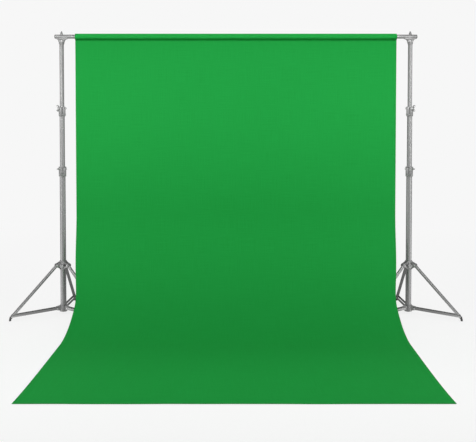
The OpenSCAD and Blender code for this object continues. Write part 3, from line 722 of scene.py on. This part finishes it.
footLook = dict(neck=8, ballHeight=11.71, bendFrom=0.12, segments=28,
                plugRadii=(6.4, 6.9, 6.9, 6.9, 6.9, 8.2, 8.7, 8.7),
                plugPlaces=(14, 13, 9, 4, 0, 0, -0.4, -1.6),
                bendRadii=(8.2, 7.2, 6.6, 6.3, 6.1, 5.9, 5.8, 5.8, 5.9, 6.0, 6.0, 5.6),
                plug=((0, 4), (6.8, 4), (6.8, 9), (8.3, 9.05), (8.1, 9.7), (7, 10.3), (4, 10.9), (0, 11.1)))


# Feet: a moulded rubber tip in each leg's end, with a collar against the tube, and a plug in its upper end.
# The tip's path runs down the leg's axis and then along a quadratic curve from the leg's end to the floor.
def footShapes(look, side, legName):
    pad = np.array(mounts[f"{side}_{legName}_foot_pad"]["pos_m"])
    hinge = joints[f"{side}_{legName}_leg_hinge"]
    pivot, across = np.array(hinge["pos_m"]), unit(hinge["axis"])
    ball = pad + up * look["ballHeight"] * mm
    down = unit(ball - pivot)
    end = ball - down * look["neck"] * mm
    straight = np.array(look["plugPlaces"])[:, None] * mm
    bend = np.linspace(look["bendFrom"], 1, len(look["bendRadii"]))[:, None]
    curve = (1 - bend) ** 2 * end + 2 * bend * (1 - bend) * ball + bend ** 2 * pad
    path = np.concatenate([end - straight * down, curve])
    radius = np.array(look["plugRadii"] + look["bendRadii"]) * mm
    tangent = np.gradient(path, axis=0)
    tangent /= np.linalg.norm(tangent, axis=1)[:, None]
    tangent[-1] = -up
    tip = carried(path, across, np.cross(tangent, across), radius, radius,
                  segments=look["segments"])
    return [tip], [turned(look["plug"], pivot, -down)]


for side in sides:
    for legName in legNames:
        lies = legName if side == "right" else mirroredLeg[legName]
        leg = f"{side}_{legName}"
        fitPiece(f"{leg}_strap_pair", braceShapes(braceLook, side, legName), legTubes[lies][1],
                 f"{leg}_brace", "brace_strap", f"{leg}_brace")
        foot, plug = footShapes(footLook, side, legName)
        fitPiece(f"{leg}_rubber_foot", foot, footRubber, f"{leg}_leg", "rubber", f"{leg}_foot")
        fitPiece(f"{leg}_leg_plug", plug, footRubber, f"{leg}_leg", "rubber")
print("braces and feet made")

# Crossbar ends: a moulded plug with a rounded rim in each end of the bar
capLook = dict(profile=((0, -14), (9.4, -14), (9.5, 0), (10.8, 0), (11, 0.4), (11, 1.6), (10.4, 2.5),
                        (8.8, 3), (0, 3)))
barLow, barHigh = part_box("crossbar_section_1")
barY, barZ = (barLow.y + barHigh.y) / 2, (barLow.z + barHigh.z) / 2
barEnd = -barLow.x
fitPiece("crossbar_end_plugs", [turned(capLook["profile"], (sign * barEnd, barY, barZ), (sign, 0, 0))
                                for sign in (-1, 1)], footRubber, "top_frame", "rubber", "crossbar_end_caps")
print("crossbar ends made")

# Backdrop cloth: a rod pocket round the crossbar, a drop, a sweep and a run over the floor
clothLook = dict(halfWidth=900 * mm, thickness=1 * mm, reach=1300 * mm, sweepRadius=580 * mm, neckIn=41 * mm,
                 frontIn=32 * mm, neckRun=250 * mm, floorSkew=7 * mm, pocketDrop=21 * mm, hemTail=10 * mm,
                 barRadius=11 * mm, layerGap=0.3 * mm, lipTurn=0.24,
                 slack=((0.36, 1.7, 0.5), (0.62, 3.75, 0.7)),  # share of the radius, middle turn, spread
                 columns=181, crease=80, blendLow=0.40, blendHigh=1.52,
                 rowSteps=dict(tail=4, pocket=60, slant=8, drop=110, sweep=60, floor=60))
# how it hangs and lies: heights in mm, lengths in metres, and runs counted from the seam
driftLook = dict(waves=((0.9, 0.83, 0.6, 0.0), (0.6, 0.41, 2.1, 0.9), (0.35, 0.23, 4.0, -1.3)),
                 hangFrom=0.0, hangFull=0.35, calmShare=0.75, calmFrom=0.75, calmFull=1.5,
                 laidFrom=1.45, laidFull=1.75, laidShare=0.35, laidRise=1.9,
                 pucker=0.45, puckerLength=0.047, puckerShift=1.3, shiftLength=0.31, puckerFade=0.03)
hemLook = dict(width=16 * mm, thickness=0.8 * mm, gap=0.1 * mm, start=26 * mm, ramp=0.05, columns=5)
stitchLook = dict(pitch=5 * mm, length=3.6 * mm, width=0.9 * mm, height=0.5 * mm, endDip=0.2 * mm,
                  rootDip=0.3 * mm, inset=13 * mm, seamBelow=3 * mm)


# the cloth's middle line as (forward, height) points: up behind the bar, round it, down, and out over the
# floor. The loop's radius swells by bell curves of the turn: a crest on top and a belly low on the front.
def clothPath(look):
    half = look["thickness"] / 2
    loopR = look["barRadius"] + look["layerGap"] + half
    foldY = half + look["layerGap"] / 2
    seamZ = barZ - look["pocketDrop"]
    tangent = math.acos(loopR / look["pocketDrop"])
    steps = look["rowSteps"]
    tail = np.stack([np.full(steps["tail"], -foldY),
                     np.linspace(seamZ - look["hemTail"], seamZ, steps["tail"])], -1)
    turn = np.linspace(-np.pi / 2 + tangent, 1.5 * np.pi - tangent + look["lipTurn"], steps["pocket"])
    slack = sum(share * np.exp(-((turn - middle) / spread) ** 2)
                for share, middle, spread in look["slack"])
    loop = np.stack([-np.cos(turn), np.sin(turn)], -1) * loopR * (1 + slack)[:, None] + (0, barZ)
    rise = np.linspace(0, 1, steps["slant"])[1:-1, None]
    climb = tail[-1] * (1 - rise) + loop[0] * rise
    fall = loop[-1] * (1 - rise) + np.array([foldY, seamZ]) * rise
    radius = look["sweepRadius"]
    drop = np.stack([np.full(steps["drop"], foldY), np.linspace(seamZ, radius, steps["drop"] + 1)[:-1]], -1)
    bend = np.linspace(0, np.pi / 2, steps["sweep"])
    sweep = np.stack([foldY + (radius - half) * (1 - np.cos(bend)),
                      radius - (radius - half) * np.sin(bend)], -1)
    floor = np.stack([np.linspace(sweep[-1, 0], look["reach"], steps["floor"] + 1)[1:],
                      np.full(steps["floor"], half)], -1)
    line = np.concatenate([tail, climb, loop, fall, drop, sweep, floor])
    run = np.concatenate([[0], np.cumsum(np.hypot(*np.diff(line, axis=0).T))])
    seamRun = run[len(tail) + len(climb) + len(loop) + len(fall)]
    return line, run, seamRun


clothLine, clothRun, seamRun = clothPath(clothLook)
clothEnd = float(clothRun[-1])
clothTangent = np.gradient(clothLine, clothRun, axis=0)
clothTangent /= np.hypot(*clothTangent.T)[:, None]


# the cloth's broad unevenness in mm: shallow cosine waves across it that hang below the seam, calm down along
# the sweep and lie low on the floor, and small puckers that fade out below the seam
def clothDrift(look, x, below, laid):
    waves = sum(height * np.cos(2 * np.pi * x / length + phase + drift * below)
                for height, length, phase, drift in look["waves"])
    calm = 1 - look["calmShare"] * ease(below, look["calmFrom"], look["calmFull"])
    hang = ease(below, look["hangFrom"], look["hangFull"]) * calm
    shift = look["puckerShift"] * np.cos(2 * np.pi * x / look["shiftLength"])
    puckers = look["pucker"] * (1 + np.cos(2 * np.pi * x / look["puckerLength"] + shift))
    pucker = puckers * np.exp(-(below / look["puckerFade"]) ** 2) * (below > 0)
    return waves * hang * (1 - laid) + (waves + look["laidRise"]) * look["laidShare"] * laid + pucker


# points on the cloth: flat is the place across it as cut, run is the length along it from its pocket's hem,
# and lift is out of its outer face. The edges draw in along the sweep, widen a little again towards the
# front, and lie a hem's thickness higher on the floor.
def clothSurface(flat, run, lift):
    look = clothLook
    flat, run = np.broadcast_arrays(np.asarray(flat, float), np.asarray(run, float))
    forward, height = (np.interp(run, clothRun, part) for part in clothLine.T)
    tangentF, tangentZ = (np.interp(run, clothRun, part) for part in clothTangent.T)
    share = np.clip(forward / look["reach"], 0, 1)
    half = (look["halfWidth"] - look["neckIn"] * ease(forward, 0, look["neckRun"])
            + (look["neckIn"] - look["frontIn"]) * np.clip(2 * share - 1, 0, 1) ** 4)
    x = flat * half / look["halfWidth"] - look["floorSkew"] * ease(share, 0, 1)
    below = run - seamRun
    laid = ease(below, driftLook["laidFrom"], driftLook["laidFull"])
    hemLift = (hemLook["thickness"] + hemLook["gap"]) * np.maximum(
        ease(np.abs(flat), look["halfWidth"] - hemLook["ramp"], look["halfWidth"] - hemLook["width"]),
        ease(run, clothEnd - hemLook["ramp"], clothEnd - hemLook["width"]))
    offset = lift + mm * clothDrift(driftLook, x, below, laid) + hemLift * laid
    forward, height = forward - tangentZ * offset, height + tangentF * offset
    return np.stack([x, barY - forward, height], -1)


# Muslin: a matt cotton cloth whose fine plain weave gives a soft, even face with faint slubs
def muslin(name, look):
    material, tree, shader = newMaterial(name)
    uv = addNode(tree, "ShaderNodeUVMap", {"uv_map": "weave"}).outputs[0]
    threads = []
    fine = 1 / (look["threadSpacing"] * mm)
    for scale in ((fine, fine * look["slub"], 0), (fine * look["slub"], fine, 0)):
        scaled = addNode(tree, "ShaderNodeMapping", {"Scale": scale}, {"Vector": uv}).outputs[0]
        threads.append(addNode(tree, "ShaderNodeTexNoise",
                               {"Scale": 1.0, "Detail": 2.0, "noise_dimensions": "2D"},
                               {"Vector": scaled}).outputs["Fac"])
    weave = calculate(tree, "ADD", *threads)
    clouds = addNode(tree, "ShaderNodeTexNoise", {"Scale": 1 / (look["cloudSize"] * mm), "Detail": 2.0,
                                                  "noise_dimensions": "2D"}, {"Vector": uv}).outputs["Fac"]
    tone = calculate(tree, "MULTIPLY_ADD", clouds, look["cloudShare"], weave)
    shade = addNode(tree, "ShaderNodeMapRange",
                    {"From Min": look["toneRange"][0], "From Max": look["toneRange"][1]},
                    {"Value": tone}).outputs[0]
    colourBy(tree, shader, look, shade)
    bumpBy(tree, shader, look, weave)
    shader.inputs["Roughness"].default_value = look["rough"]
    shader.inputs["Specular IOR Level"].default_value = look["specular"]
    return material


# real threads are 0.45 mm apart, and these are wider so that they show
muslinLook = dict(darkColour="#1ca040", lightColour="#22aa49", threadSpacing=2.4, slub=0.02, cloudSize=300,
                  cloudShare=0.2, toneRange=(0.6, 1.6), bump=0.18, bumpDepth=0.3, rough=0.9, specular=0.15)
greenMuslin = muslin("plainWovenMuslin", muslinLook)


# a layer of cloth over a grid of flat places and lengths, with the weave's map in metres
def clothLayer(name, flat, run, lift, thickness):
    flat, run = np.meshgrid(flat, run)
    layer = makePiece(name, (clothSurface(flat, run, lift), gridFaces(*flat.shape)), greenMuslin,
                      closed=False, uv=np.stack([flat, run], -1), sharpAngle=clothLook["crease"])
    solid = layer.modifiers.new("cloth thickness", "SOLIDIFY")
    solid.thickness, solid.offset = thickness, 0
    return layer


# stitches along a row of lengths or across a row of places: each is a spindle of six points that dips into
# the cloth at both ends and stands a little proud in its middle
def stitchRow(look, flat, run, alongRun):
    step = look["length"] / 2
    flat, run = np.broadcast_arrays(np.asarray(flat, float), np.asarray(run, float))
    face = clothLook["thickness"] / 2
    ends, widths = [], []
    for move in (-1, 1):
        dFlat, dRun = (0, move * step) if alongRun else (move * step, 0)
        ends.append(clothSurface(flat + dFlat, run + dRun, face - look["endDip"]))
        dFlat, dRun = (move * look["width"] / 2, 0) if alongRun else (0, move * look["width"] / 2)
        widths.append(clothSurface(flat + dFlat, run + dRun, face))
    crest = clothSurface(flat, run, face + look["height"])
    root = clothSurface(flat, run, face - look["rootDip"])
    points = np.stack([ends[0], widths[0], crest, widths[1], root, ends[1]], 1)
    corners = [(pole, 1 + i, 1 + (i + 1) % 4) for pole in (0, 5) for i in range(4)]
    faces = np.array(corners)[None] + 6 * np.arange(len(points))[:, None, None]
    return points.reshape(-1, 3), faces.reshape(-1, 3)


# the cloth with hems behind its edges and stitches
def makeCloth(look, hem, stitch):
    side = np.linspace(-look["halfWidth"], look["halfWidth"], look["columns"])
    cloth = clothLayer("backdrop_muslin", side, clothRun, 0.0, look["thickness"])
    behind = -(look["thickness"] + hem["thickness"]) / 2 - hem["gap"]
    strip = look["halfWidth"] - np.linspace(hem["width"], 0, hem["columns"])
    lengths = clothRun[(clothRun > seamRun + hem["start"]) & (clothRun < clothEnd - hem["width"])]
    front = clothEnd - np.linspace(hem["width"], 0, hem["columns"])
    hems = [clothLayer("left_side_hem", -strip[::-1], lengths, behind, hem["thickness"]),
            clothLayer("right_side_hem", strip, lengths, behind, hem["thickness"]),
            clothLayer("front_hem", side, front, behind, hem["thickness"])]
    rows = np.arange(seamRun + hem["start"], clothEnd - stitch["inset"], stitch["pitch"])
    inset = look["halfWidth"] - stitch["inset"]
    places = np.arange(-inset, inset, stitch["pitch"])
    stitches = makePiece("hem_stitches", joined([
        stitchRow(stitch, -inset, rows, True), stitchRow(stitch, inset, rows, True),
        stitchRow(stitch, places, clothEnd - stitch["inset"], False),
        stitchRow(stitch, places, seamRun + stitch["seamBelow"], False)]), greenThread)
    layers = [*hems, stitches]
    for layer in (cloth, *layers):
        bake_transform(layer)
    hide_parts("backdrop_cloth")


# Polyester sewing thread: a smooth twisted filament, a little brighter and glossier than the cloth it holds
threadLook = dict(rubberLook, darkColour="#2aa54b", lightColour="#34b358", rough=(0.45, 0.6), pebbleSize=0.9,
                  bump=0.1)
greenThread = pebbled("polyesterSewingThread", threadLook)
makeCloth(clothLook, hemLook, stitchLook)
print("cloth made", round(clothEnd, 3), "m long")

bpy.context.scene.view_settings.view_transform = "Standard"
